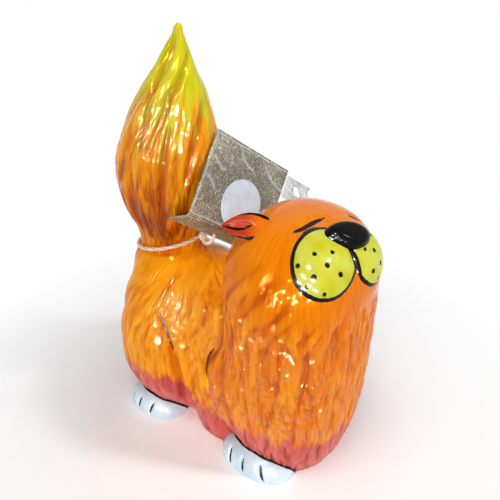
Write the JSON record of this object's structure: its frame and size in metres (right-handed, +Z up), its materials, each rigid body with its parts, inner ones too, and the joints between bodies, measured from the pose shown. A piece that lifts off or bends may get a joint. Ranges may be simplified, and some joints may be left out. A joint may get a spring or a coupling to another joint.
{
  "type": "cat figurine",
  "caption": "Glazed ceramic long-haired cat standing with its tail up, eyes shut and nose in the air, with a folded card tag tied round the tail by a cord.",
  "frame": {"origin": "on the surface the cat stands on, under the waist, midway between the cat's left and right sides", "axes": "+Z up, the cat faces -Y, its right side is at -X"},
  "size_m": [0.0966, 0.1402, 0.1985],
  "materials": {
    "orange_glaze": "gloss glaze over hand-painted orange fur",
    "white_glaze": "gloss white glaze",
    "coral_glaze": "gloss coral glaze",
    "yellow_glaze": "gloss yellow glaze",
    "black_glaze": "gloss black glaze",
    "cord_cotton": "twisted cotton",
    "gold_card": "gold glitter card",
    "clear_film": "clear film",
    "white_paper": "matt sticker paper"
  },
  "bodies": {
    "figurine": {"head_chest_shell": "orange_glaze", "rear_body_shell": "orange_glaze", "tail": "orange_glaze", "front_right_paw": "white_glaze", "front_left_paw": "white_glaze", "rear_right_paw": "white_glaze", "rear_left_paw": "white_glaze", "right_ear": "coral_glaze", "left_ear": "coral_glaze", "right_muzzle_pad": "yellow_glaze", "left_muzzle_pad": "yellow_glaze", "nose": "black_glaze"},
    "tie": {"tail_cord": "cord_cotton", "cord_knot": "cord_cotton", "tag_flap": "gold_card"},
    "tag": {"tag_leaf": "gold_card", "tag_film": "clear_film", "price_dot": "white_paper"}
  },
  "joints": [
    {"name": "tie_turn", "type": "hinge", "parent": "figurine", "child": "tie", "pos_m": [0, 0.04, 0.0955], "axis": [0, 0, 1], "range_deg": [0, 35]},
    {"name": "tag_fold", "type": "hinge", "parent": "tie", "child": "tag", "pos_m": [-0.0205, 0.0097, 0.1252], "axis": [0.755, -0.2707, -0.5973], "range_deg": [0, 25]}
  ]
}
